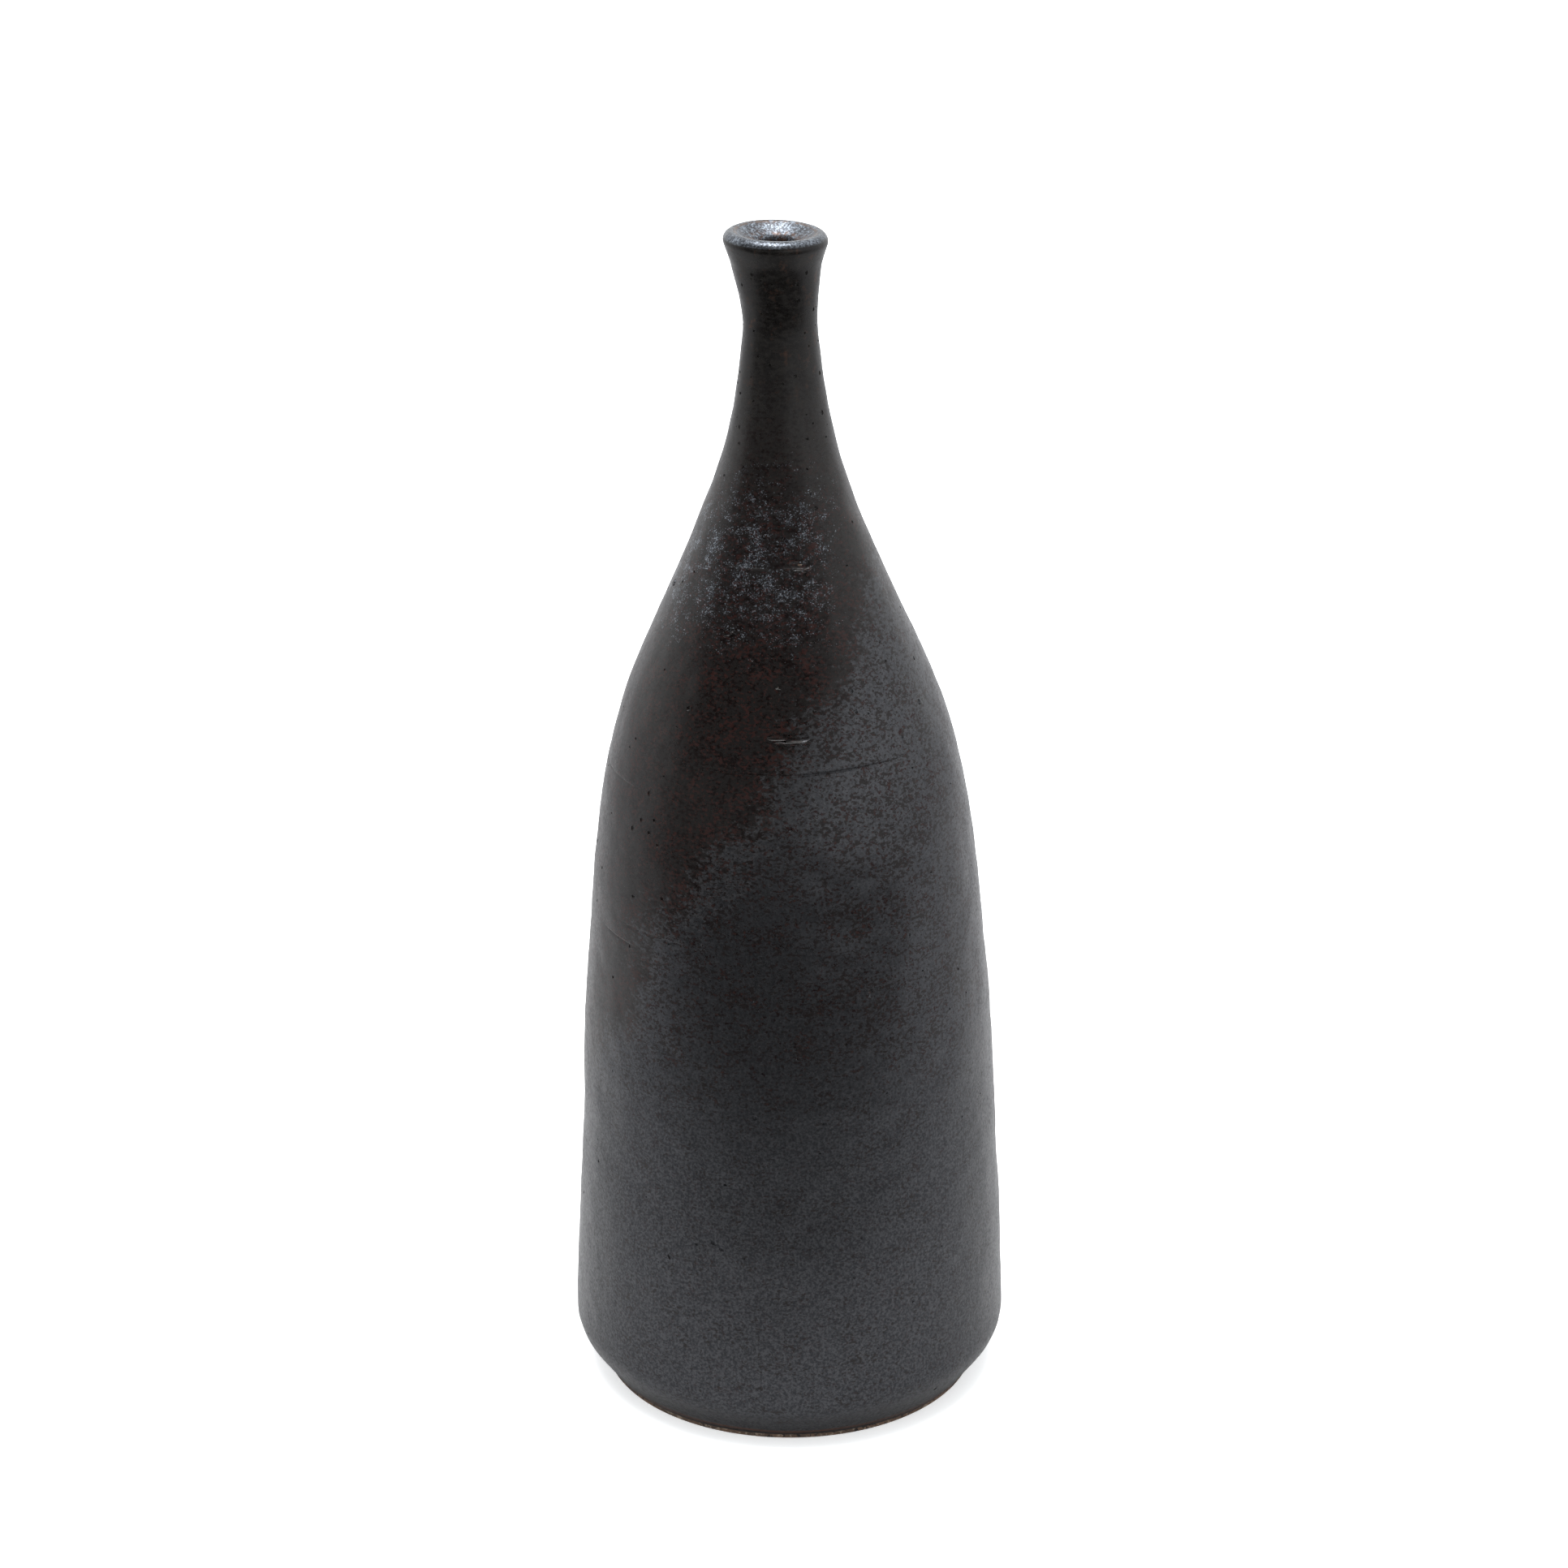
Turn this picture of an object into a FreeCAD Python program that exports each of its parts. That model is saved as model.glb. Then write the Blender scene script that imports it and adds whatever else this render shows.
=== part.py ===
"""Wheel-thrown stoneware bottle vase, as three separate solids: the fired clay, the glaze
poured over its outside and the glaze swilled round its inside. Millimetres, +Z up, origin
at the middle of the foot. Every solid is one half-section turned about the Z axis."""

import math
import os

import FreeCAD, Part
import Sketcher

# The finished, glazed pot. A radius is measured from the axis, a height from the foot.
SIZES = {
    # thickness of the fired glaze, the same inside and out
    "coat": 0.4,
    # outside of the wall: the control points of one smooth line from the belly to the flare
    "belly_radius": 48.95,
    "belly_height": 13.0,
    "flank_low_radius": 46.9,
    "flank_low_height": 60.0,
    "flank_high_radius": 44.2,
    "flank_high_height": 105.0,
    "shoulder_low_radius": 38.8,
    "shoulder_low_height": 146.0,
    "shoulder_high_radius": 32.5,
    "shoulder_high_height": 166.0,
    "slope_radius": 16.5,
    "slope_height": 200.0,
    "neck_low_radius": 9.7,
    "neck_low_height": 221.0,
    "neck_high_radius": 7.8,
    "neck_high_height": 240.0,
    "waist_radius": 7.6,
    "waist_height": 243.0,
    "flare_radius": 9.5,
    "flare_height": 253.5,
    # rounded lip
    "lip_radius": 9.05,
    "lip_height": 258.1,
    "lip_round": 1.9,
    # dished mouth, which rolls over into the bore
    "mouth_round": 1.6,
    "mouth_height": 256.8,
    # inside of the wall: the control points of the line from the bore to the floor
    "bore_radius": 4.7,
    "bore_deep_radius": 4.6,
    "bore_deep_height": 236.0,
    "funnel_top_radius": 5.6,
    "funnel_top_height": 222.0,
    "funnel_radius": 13.0,
    "funnel_height": 200.0,
    "vault_radius": 30.0,
    "vault_height": 164.0,
    "hollow_high_radius": 38.5,
    "hollow_high_height": 120.0,
    "hollow_low_radius": 41.5,
    "hollow_low_height": 60.0,
    "hollow_radius": 42.5,
    "floor_height": 8.0,
    "floor_round": 12.0,
    # rounded corner under the belly, and the straight slope below it that the glaze runs down
    "corner_round": 9.55,
    "skirt_slope": 54.0,
    "glaze_line_height": 1.6,
    # turned foot: the clay below the glaze line is bare
    "foot_radius": 42.4,
    "foot_bevel": 0.4,
    "recess_radius": 34.0,
    "recess_slope": 1.5,
    "recess_depth": 2.5,
}

OUTSIDE = (
    "belly",
    "flank_low",
    "flank_high",
    "shoulder_low",
    "shoulder_high",
    "slope",
    "neck_low",
    "neck_high",
    "waist",
    "flare",
)
INSIDE = ("bore_deep", "funnel_top", "funnel", "vault", "hollow_high", "hollow_low")
START, END, CENTRE = 1, 2, 3  # the points of a sketch's line or arc
ACROSS, UPRIGHT = -1, -2  # a sketch's own axes
CREST = 90  # the angle of the lip's highest point, in degrees
LIP_OUTSIDE, LIP_INSIDE = -18, 121  # about where the flare and the dish meet the lip
GLAZED, UNDER_GLAZE = (), ("-coat",)  # how far a face lies in from the finished one


def write_sheet(doc):
    """Puts every driving size in the spreadsheet, under its own name."""
    sheet = doc.addObject("Spreadsheet::Sheet", "sizes")
    for row, (name, value) in enumerate(SIZES.items(), start=1):
        sheet.set(f"A{row}", name)
        sheet.set(f"B{row}", str(value))
        sheet.setAlias(f"B{row}", name)
    doc.recompute()
    return sheet


def value(terms):
    """What a sum of named sizes comes to. A name that starts with - is taken away."""
    return sum(-SIZES[term[1:]] if term[0] == "-" else SIZES[term] for term in terms)


def formula(terms):
    """The same sum, as an expression on the sheet's cells."""
    return " ".join(f"- sizes.{term[1:]}" if term[0] == "-" else f"+ sizes.{term}" for term in terms)


def place(point):
    return FreeCAD.Vector(value(point[0]), value(point[1]), 0)


class HalfSection:
    """The sketch of a half-section in a body's XZ plane: across is the radius, up the height."""

    def __init__(self, body):
        plane = next(o for o in body.Origin.OriginFeatures if o.Role == "XZ_Plane")
        self.sketch = body.newObject("Sketcher::SketchObject", body.Name + "_section")
        self.sketch.AttachmentSupport = (plane, "")
        self.sketch.MapMode = "FlatFace"

    def bind(self, kind, *where, terms):
        """A measured constraint, driven by the sheet."""
        index = self.sketch.addConstraint(Sketcher.Constraint(kind, *where, value(terms)))
        self.sketch.setExpression(f"Constraints[{index}]", formula(terms))

    def bind_height(self, end, height):
        if height:
            self.bind("DistanceY", ACROSS, START, *end, terms=height)
        else:
            self.sketch.addConstraint(Sketcher.Constraint("PointOnObject", *end, ACROSS))

    def bind_point(self, end, point):
        """Holds an end at (radius, height). A radius or height with no terms is on the axis."""
        radius, height = point
        if radius:
            self.bind("DistanceX", ACROSS, START, *end, terms=radius)
        else:
            self.sketch.addConstraint(Sketcher.Constraint("PointOnObject", *end, UPRIGHT))
        self.bind_height(end, height)

    def bind_slope(self, line, degrees):
        """Holds a line's angle above the level."""
        angle = math.radians(value(degrees))
        index = self.sketch.addConstraint(Sketcher.Constraint("Angle", line, angle))
        self.sketch.setExpression(f"Constraints[{index}]", formula(degrees))

    def line(self, start, end):
        """A straight run drawn between two points. What it joins, or bind_point, holds its ends."""
        return self.sketch.addGeometry(Part.LineSegment(place(start), place(end)))

    def arc(self, centre, radius, first, last):
        """An arc about a held centre, drawn anticlockwise between two angles in degrees."""
        circle = Part.Circle(place(centre), FreeCAD.Vector(0, 0, 1), value(radius))
        span = Part.ArcOfCircle(circle, math.radians(first), math.radians(last))
        arc = self.sketch.addGeometry(span)
        self.bind_point((arc, CENTRE), centre)
        self.bind("Radius", arc, terms=radius)
        return arc

    def curve(self, poles):
        """A cubic from its first pole to its last, drawn towards those between. Its ends are
        held by what they join."""
        points = [place(pole) for pole in poles]
        curve = self.sketch.addGeometry(Part.BSplineCurve(points, None, None, False, 3, None, False))
        for number, pole in enumerate(poles):
            circle = Part.Circle(place(pole), FreeCAD.Vector(0, 0, 1), 1)
            mark = self.sketch.addGeometry(circle, True)
            kind = "InternalAlignment:Sketcher::BSplineControlPoint"
            self.sketch.addConstraint(Sketcher.Constraint(kind, mark, CENTRE, curve, number))
            self.sketch.addConstraint(Sketcher.Constraint("Weight", mark, 1.0))
            if 0 < number < len(poles) - 1:
                self.bind_point((mark, CENTRE), pole)
        return curve

    def join(self, end, other):
        self.sketch.addConstraint(Sketcher.Constraint("Coincident", *end, *other))

    def join_smoothly(self, end, other):
        self.sketch.addConstraint(Sketcher.Constraint("Tangent", *end, *other))

    def run(self, end, points):
        """Straight runs from an end through points. A last point of None leaves it free."""
        for start, point in points:
            line = self.line(start, point)
            self.join(end, (line, START))
            self.bind_point((line, END), point)
            end = (line, END)
        return end


def outside_face(section, under):
    """The outside from the glaze line up to the lip: the skirt, the rounded corner over it, the
    long line of the wall, and the straight flare. under is the part of the face's depth."""
    corner_centre = (("belly_radius", "-corner_round"), ("belly_height",))
    corner = section.arc(corner_centre, ("corner_round", *under), SIZES["skirt_slope"] - 90, 0)
    section.bind_height((corner, END), ("belly_height",))
    skirt_low = (("foot_radius",), ("glaze_line_height",))
    skirt = section.line(skirt_low, (("belly_radius",), ("corner_round",)))
    section.join_smoothly((skirt, END), (corner, START))
    section.bind_slope(skirt, ("skirt_slope",))
    section.bind_height((skirt, START), ("glaze_line_height",))
    poles = [((name + "_radius", *under), (name + "_height",)) for name in OUTSIDE]
    wall = section.curve(poles)
    section.join((corner, END), (wall, START))
    section.bind_point((wall, END), poles[-1])
    flare = section.line(poles[-1], (("lip_radius", "lip_round"), ("lip_height",)))
    section.join((wall, END), (flare, START))
    return (skirt, START), (flare, END)


def inside_face(section, under):
    """The inside from the lip down to the middle of the floor: the dish of the mouth, its
    rounded edge, the bore and the hollow, the corner of the floor and the floor."""
    over = tuple("coat" for _ in under)
    edge_centre = (("bore_radius", "mouth_round"), ("mouth_height",))
    edge_top = (edge_centre[0], ("mouth_height", "mouth_round"))
    dish = section.line((("lip_radius",), ("lip_height", "lip_round")), edge_top)
    edge = section.arc(edge_centre, ("mouth_round", *under), LIP_INSIDE, 180)
    section.join_smoothly((dish, END), (edge, START))
    section.bind_height((edge, END), ("mouth_height",))
    floor_centre = (("hollow_radius", "-floor_round"), ("floor_height", "floor_round"))
    corner = section.arc(floor_centre, ("floor_round", *over), -90, 0)
    section.bind("DistanceX", ACROSS, START, corner, START, terms=floor_centre[0])
    section.bind_height((corner, END), floor_centre[1])
    first = (("bore_radius", *over), ("mouth_height",))
    last = (("hollow_radius", *over), floor_centre[1])
    poles = [((name + "_radius", *over), (name + "_height",)) for name in INSIDE]
    wall = section.curve([first, *poles, last])
    section.join((edge, END), (wall, START))
    section.join((corner, END), (wall, END))
    floor_level = ("floor_height", *under)
    floor = section.line((floor_centre[0], floor_level), ((), floor_level))
    section.join((corner, START), (floor, START))
    section.sketch.addConstraint(Sketcher.Constraint("Horizontal", floor))
    section.sketch.addConstraint(Sketcher.Constraint("PointOnObject", floor, END, UPRIGHT))
    return (dish, START), (floor, END)


def lip_arc(section, under, first, last):
    """The rounded lip between two angles, anticlockwise: 90 is its crest."""
    lip = section.arc((("lip_radius",), ("lip_height",)), ("lip_round", *under), first, last)
    for end, angle in ((START, first), (END, last)):
        if angle == CREST:
            section.bind("DistanceX", ACROSS, START, lip, end, terms=("lip_radius",))
    return lip


def cap(section, end, other):
    """The glaze's own edge: a straight line from the clay to the glazed face."""
    line = section.line((("coat",), ("coat",)), (("coat", "coat"), ("coat",)))
    section.join(end, (line, START))
    section.join(other, (line, END))


def draw_clay(section):
    """Wall, floor and foot of the fired clay, thrown from one ball of clay."""
    foot, flare = outside_face(section, UNDER_GLAZE)
    dish, middle = inside_face(section, UNDER_GLAZE)
    lip = lip_arc(section, UNDER_GLAZE, LIP_OUTSIDE, LIP_INSIDE)
    section.join_smoothly(flare, (lip, START))
    section.join_smoothly((lip, END), dish)
    recess_top = ("recess_depth",)
    turned = [
        ((), recess_top),
        (("recess_radius", "-recess_slope"), recess_top),
        (("recess_radius",), ()),
        (("foot_radius", "-foot_bevel"), ()),
        (("foot_radius",), ("foot_bevel",)),
    ]
    starts = [((), ("floor_height", "-coat")), *turned]
    side_bottom = section.run(middle, list(zip(starts, turned)))
    side = section.line(turned[-1], (("foot_radius",), ("glaze_line_height",)))
    section.join(side_bottom, (side, START))
    section.join((side, END), foot)


def draw_outer_glaze(section):
    """Coat from the crest of the lip down to the glaze line over the foot."""
    inner_foot, inner_flare = outside_face(section, UNDER_GLAZE)
    outer_foot, outer_flare = outside_face(section, GLAZED)
    crests = []
    for under, flare in ((UNDER_GLAZE, inner_flare), (GLAZED, outer_flare)):
        lip = lip_arc(section, under, LIP_OUTSIDE, CREST)
        section.join_smoothly(flare, (lip, START))
        crests.append((lip, END))
    cap(section, *crests)
    cap(section, inner_foot, outer_foot)


def draw_inner_glaze(section):
    """Coat from the crest of the lip down the bore and all over the inside."""
    crests = []
    middles = []
    for under in (UNDER_GLAZE, GLAZED):
        dish, middle = inside_face(section, under)
        lip = lip_arc(section, under, CREST, LIP_INSIDE)
        section.join_smoothly((lip, END), dish)
        crests.append((lip, START))
        middles.append(middle)
    cap(section, *crests)
    cap(section, *middles)


def turn(doc, label, draw):
    """One piece of the pot: its half-section turned all the way about the axis."""
    body = doc.addObject("PartDesign::Body", label)
    body.Label = label
    section = HalfSection(body)
    draw(section)
    doc.recompute()
    turned = body.newObject("PartDesign::Revolution", label + "_turned")
    turned.Profile = section.sketch
    turned.ReferenceAxis = (section.sketch, ["V_Axis"])
    turned.Angle = 360
    section.sketch.Visibility = False
    body.Placement = FreeCAD.Placement()
    return body


def check(doc, bodies):
    """Stops if anything in the document failed to build."""
    for thing in doc.Objects:
        if "Invalid" in thing.State or "Error" in thing.State:
            raise RuntimeError(f"{thing.Label} did not build: {thing.State}")
    for body in bodies:
        if body.Shape.isNull() or not body.Shape.isValid() or len(body.Shape.Solids) != 1:
            raise RuntimeError(f"{body.Label} is not one sound solid")


def main():
    doc = FreeCAD.newDocument("bottle_vase")
    write_sheet(doc)
    pieces = {
        "clay_body": draw_clay,
        "outer_glaze": draw_outer_glaze,
        "inner_glaze": draw_inner_glaze,
    }
    bodies = [turn(doc, label, draw) for label, draw in pieces.items()]
    doc.recompute()
    check(doc, bodies)
    os.makedirs("parts", exist_ok=True)
    for body in bodies:
        body.Shape.exportStep(f"parts/{body.Label}.step")
        print(body.Label, round(body.Shape.Volume), "mm3", body.Shape.BoundBox)


main()
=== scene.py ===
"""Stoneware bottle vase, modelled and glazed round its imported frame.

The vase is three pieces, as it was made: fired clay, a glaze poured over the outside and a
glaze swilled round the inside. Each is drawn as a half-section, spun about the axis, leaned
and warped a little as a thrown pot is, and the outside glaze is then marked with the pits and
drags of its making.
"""

import math
import random

import bpy
from mathutils import Matrix, Vector


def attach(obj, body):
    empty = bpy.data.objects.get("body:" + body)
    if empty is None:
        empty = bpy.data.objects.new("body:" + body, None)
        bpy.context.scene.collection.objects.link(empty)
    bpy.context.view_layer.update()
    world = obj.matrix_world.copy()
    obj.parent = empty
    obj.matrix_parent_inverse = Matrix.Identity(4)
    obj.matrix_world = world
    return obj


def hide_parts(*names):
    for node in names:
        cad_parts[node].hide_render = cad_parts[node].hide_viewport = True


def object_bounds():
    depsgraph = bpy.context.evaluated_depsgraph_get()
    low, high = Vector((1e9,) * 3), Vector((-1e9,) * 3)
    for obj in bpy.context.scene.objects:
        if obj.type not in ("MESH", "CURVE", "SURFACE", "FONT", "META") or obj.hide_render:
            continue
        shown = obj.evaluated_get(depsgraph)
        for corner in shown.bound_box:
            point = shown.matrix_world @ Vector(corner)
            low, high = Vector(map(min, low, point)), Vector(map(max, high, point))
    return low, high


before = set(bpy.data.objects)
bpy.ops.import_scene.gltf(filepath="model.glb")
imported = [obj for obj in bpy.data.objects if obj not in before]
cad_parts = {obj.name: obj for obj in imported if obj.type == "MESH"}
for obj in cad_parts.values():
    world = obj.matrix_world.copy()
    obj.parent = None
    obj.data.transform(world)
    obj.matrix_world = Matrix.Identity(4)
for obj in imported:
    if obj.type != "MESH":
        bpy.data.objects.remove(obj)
CAD_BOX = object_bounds()

bl_info = {
    "name": "Stoneware Bottle Vase",
    "version": (1, 0, 0),
    "blender": (4, 5, 0),
    "location": "View3D > Sidebar > Bottle Vase",
    "description": "Models a wheel-thrown stoneware bottle vase with a metallic glaze",
    "category": "Add Mesh",
}

DRAWN_HEIGHT = 260.0  # the height of the outline below, in its own millimetres
MM = (CAD_BOX[1].z - CAD_BOX[0].z) / DRAWN_HEIGHT  # metres to one millimetre of the outline

# The outline of the finished pot: (radius, height) in millimetres, as it was drawn in the frame.
COAT = 0.4
WALL = (
    (48.95, 13.0),
    (46.9, 60.0),
    (44.2, 105.0),
    (38.8, 146.0),
    (32.5, 166.0),
    (16.5, 200.0),
    (9.7, 221.0),
    (7.8, 240.0),
    (7.6, 243.0),
    (9.5, 253.5),
)
HOLLOW = (
    (4.7, 256.8),
    (4.6, 236.0),
    (5.6, 222.0),
    (13.0, 200.0),
    (30.0, 164.0),
    (38.5, 120.0),
    (41.5, 60.0),
    (42.5, 20.0),
)
CORNER = (39.4, 13.0)
CORNER_ROUND = 9.55
LIP = (9.05, 258.1)
LIP_ROUND = 1.9
LIP_OUTSIDE_ANGLE = -18
LIP_INSIDE_ANGLE = 121
MOUTH_EDGE = (6.3, 256.8)
MOUTH_ROUND = 1.6
FLOOR_CORNER = (30.5, 20.0)
FLOOR_ROUND = 12.0
SKIRT_SLOPE = 54  # degrees up from level, of the straight slope under the rounded corner
GLAZE_LINE = 1.6
FOOT_RADIUS = 42.4
FOOT_BEVEL = 0.4
RECESS_RADIUS = 34.0
RECESS_SLOPE = 1.5
RECESS_DEPTH = 2.5
LIP_SHIFT = 3.0  # how far to -X of the foot the middle of the lip stands
NECK_SHIFT = 2.5  # the same, of the neck
LEAN_STARTS = 62.0  # the height where the lean begins, and where it is whole
NECK_ROOT = 182.0
COARSE_ROW = 4.5  # between points on a wall that no one sees


# ---------------------------------------------------------------- what a user would change


class VaseShape(bpy.types.PropertyGroup):
    """How the thrown form departs from a true turned one, and how finely it is modelled."""

    lean: bpy.props.FloatProperty(
        name="Lean", description="How far the neck stands to -X of the foot",
        default=0.0021, unit="LENGTH",
    )
    lip_drift: bpy.props.FloatProperty(
        name="Lip Drift", description="How much further the lip stands to -X than the neck",
        default=0.0009, unit="LENGTH",
    )
    lip_tilt: bpy.props.FloatProperty(
        name="Lip Tilt", description="How far the lip dips towards +X",
        default=math.radians(1.7), subtype="ANGLE",
    )
    lip_nod: bpy.props.FloatProperty(
        name="Lip Nod", description="How far the lip dips towards the front, -Y",
        default=math.radians(3.4), subtype="ANGLE",
    )
    unevenness: bpy.props.FloatProperty(
        name="Unevenness", description="How far the wall wanders from a circle",
        default=0.0011, unit="LENGTH",
    )
    ripple: bpy.props.FloatProperty(
        name="Ripple", description="Height of the small waves in the glazed face",
        default=0.00012, unit="LENGTH",
    )
    facets: bpy.props.IntProperty(
        name="Facets", description="Steps round the glazed pieces", default=240, min=48,
    )
    rows: bpy.props.FloatProperty(
        name="Row Height", description="Height of a row of faces on the wall",
        default=0.0014, unit="LENGTH",
    )


class VaseGlaze(bpy.types.PropertyGroup):
    """Colours of the fired surfaces, as linear light."""

    metal: bpy.props.FloatVectorProperty(
        name="Metal", description="Brightest grain of the gunmetal skin", subtype="COLOR",
        size=4, min=0, max=1, default=(0.062, 0.063, 0.068, 1.0),
    )
    iron: bpy.props.FloatVectorProperty(
        name="Iron", description="Dark maroon specks of iron in the glaze", subtype="COLOR",
        size=4, min=0, max=1, default=(0.0028, 0.0011, 0.0010, 1.0),
    )
    clay: bpy.props.FloatVectorProperty(
        name="Bare Clay", description="Fired clay below the glaze line", subtype="COLOR",
        size=4, min=0, max=1, default=(0.045, 0.026, 0.016, 1.0),
    )


class VaseStage(bpy.types.PropertyGroup):
    """Studio round the vase."""

    sky: bpy.props.FloatProperty(
        name="Tent Light", description="Brightness of the white tent", default=1.35, min=0,
    )
    top_light: bpy.props.FloatProperty(
        name="Top Light", description="Brightness of the broad light overhead", default=2.6, min=0,
    )
    lens: bpy.props.FloatProperty(
        name="Lens", description="Focal length of the camera in millimetres", default=76.67,
    )
    distance: bpy.props.FloatProperty(
        name="Camera Distance", description="From the foot to the camera along the ground",
        default=0.6829, unit="LENGTH",
    )
    height: bpy.props.FloatProperty(
        name="Camera Height", description="Of the camera above the ground",
        default=0.3943, unit="LENGTH",
    )
    pitch: bpy.props.FloatProperty(
        name="Camera Pitch", description="How far the camera looks down",
        default=math.radians(20.53), subtype="ANGLE",
    )
    pan: bpy.props.FloatProperty(
        name="Camera Pan", description="How far the camera turns towards -X",
        default=math.radians(0.106), subtype="ANGLE",
    )


# ---------------------------------------------------------------- drawing half-sections


def arc(centre, radius, first, last, steps):
    """Points on an arc, between two angles in degrees."""
    angles = [math.radians(first + (last - first) * k / steps) for k in range(steps + 1)]
    return [(centre[0] + radius * math.cos(a), centre[1] + radius * math.sin(a)) for a in angles]


def smooth_line(poles):
    """Close points along the cubic that runs from the first pole to the last."""
    bpy.ops.curve.primitive_nurbs_path_add(location=(0, 0, 0))
    path = bpy.context.object
    path.data.splines.clear()
    spline = path.data.splines.new("NURBS")
    spline.points.add(len(poles) - 1)
    for point, (radius, height) in zip(spline.points, poles):
        point.co = (radius, 0, height, 1)
    spline.order_u = 4
    spline.use_endpoint_u = True
    spline.resolution_u = 64
    bpy.ops.object.convert(target="MESH")
    line = [(v.co.x, v.co.z) for v in bpy.context.object.data.vertices]
    bpy.ops.object.delete()
    return line


def evenly(line, step):
    """The same line with its points a step apart, ends kept."""
    lengths = [0.0]
    for a, b in zip(line, line[1:]):
        lengths.append(lengths[-1] + math.dist(a, b))
    count = max(1, round(lengths[-1] / step))
    points = []
    k = 0
    for number in range(count + 1):
        along = lengths[-1] * number / count
        while k < len(line) - 2 and lengths[k + 1] < along:
            k += 1
        share = (along - lengths[k]) / (lengths[k + 1] - lengths[k])
        points.append(tuple(a + (b - a) * share for a, b in zip(line[k], line[k + 1])))
    return points


def skirt_end(depth):
    """The lower end of the straight skirt, on the glaze line."""
    slope = math.radians(SKIRT_SLOPE)
    radius = CORNER[0] + (CORNER_ROUND - depth) * math.sin(slope)
    height = CORNER[1] - (CORNER_ROUND - depth) * math.cos(slope)
    return (radius - (height - GLAZE_LINE) / math.tan(slope), GLAZE_LINE)


def outside_line(depth, row):
    """The outside from the glaze line to the crest of the lip, at a depth in from the finished
    face. row is how far apart its points are on the wall."""
    corner = arc(CORNER, CORNER_ROUND - depth, SKIRT_SLOPE - 90, 0, round(6 / min(row, 0.6)))
    skirt = evenly([skirt_end(depth), corner[0]], min(row, 1.0))
    wall = evenly(smooth_line([(radius - depth, height) for radius, height in WALL]), row)
    lip = arc(LIP, LIP_ROUND - depth, LIP_OUTSIDE_ANGLE, 90, 18)
    flare = evenly([wall[-1], lip[0]], min(row, 1.0))
    return skirt[:-1] + corner[:-1] + wall[:-1] + flare[:-1] + lip


def inside_line(depth, row):
    """The inside from the crest of the lip to the middle of the floor."""
    lip = arc(LIP, LIP_ROUND - depth, 90, LIP_INSIDE_ANGLE, 6)
    mouth = arc(MOUTH_EDGE, MOUTH_ROUND - depth, LIP_INSIDE_ANGLE, 180, 10)
    dish = evenly([lip[-1], mouth[0]], 0.4)
    wall = evenly(smooth_line([(radius + depth, height) for radius, height in HOLLOW]), row)
    corner = arc(FLOOR_CORNER, FLOOR_ROUND + depth, 0, -90, 8)
    floor = evenly([corner[-1], (0.0, corner[-1][1])], row)
    return lip[:-1] + dish[:-1] + mouth[:-1] + wall[:-1] + corner[:-1] + floor


# ---------------------------------------------------------------- shaping pieces


def clear_selection():
    """Leaves object mode with nothing selected."""
    if bpy.context.mode != "OBJECT":
        bpy.ops.object.mode_set(mode="OBJECT")
    bpy.ops.object.select_all(action="DESELECT")


def edit(piece):
    """Goes into edit mode on one piece, with nothing of it selected."""
    clear_selection()
    piece.select_set(True)
    bpy.context.view_layer.objects.active = piece
    bpy.ops.object.mode_set(mode="EDIT")
    bpy.ops.mesh.select_all(action="DESELECT")


def select_points(piece, wanted):
    """Selects, in edit mode, the vertices that wanted(position) is true for."""
    bpy.ops.object.mode_set(mode="OBJECT")
    for group in (piece.data.edges, piece.data.polygons):
        group.foreach_set("select", [False] * len(group))
    piece.data.vertices.foreach_set("select", [wanted(v.co) for v in piece.data.vertices])
    bpy.ops.object.mode_set(mode="EDIT")


def spin_piece(name, outline, steps):
    """Draws the closed outline as a curve, makes it a mesh and spins it about the Z axis."""
    clear_selection()
    bpy.ops.curve.primitive_nurbs_path_add(location=(0, 0, 0))
    piece = bpy.context.object
    piece.name = name
    piece.data.splines.clear()
    line = piece.data.splines.new("POLY")
    line.points.add(len(outline) - 1)
    for point, (radius, height) in zip(line.points, outline):
        point.co = (radius * MM, 0, height * MM, 1)
    line.use_cyclic_u = outline[0][0] > 0
    bpy.ops.object.convert(target="MESH")
    piece = bpy.context.object
    piece.data.name = name
    edit(piece)
    bpy.ops.mesh.select_all(action="SELECT")
    bpy.ops.mesh.spin(steps=steps, angle=2 * math.pi, center=(0, 0, 0), axis=(0, 0, 1))
    bpy.ops.mesh.select_all(action="SELECT")
    bpy.ops.mesh.remove_doubles(threshold=0.01 * MM)
    bpy.ops.mesh.normals_make_consistent(inside=False)
    clear_selection()
    return piece


def apply_modifier(piece, modifier):
    """Applies one modifier with its piece alone selected."""
    clear_selection()
    piece.select_set(True)
    bpy.context.view_layer.objects.active = piece
    bpy.ops.object.modifier_apply(modifier=modifier.name)


def weigh(piece, name, weight):
    """A vertex group whose weight at each vertex is weight(position)."""
    group = piece.vertex_groups.new(name=name)
    for v in piece.data.vertices:
        share = weight(v.co)
        if share > 0:
            group.add([v.index], share, "REPLACE")
    return group.name


def ease(low, high, value):
    """0 up to low, 1 from high, and smooth between."""
    share = min(1.0, max(0.0, (value - low) / (high - low)))
    return share * share * (3 - 2 * share)


def clouds(name, size, kind="GRAYSCALE"):
    """A soft noise for a Displace modifier, with lumps of about the given size."""
    texture = bpy.data.textures.new(name, "CLOUDS")
    texture.noise_scale = size
    texture.noise_depth = 1
    texture.cloud_type = kind
    return texture


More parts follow.
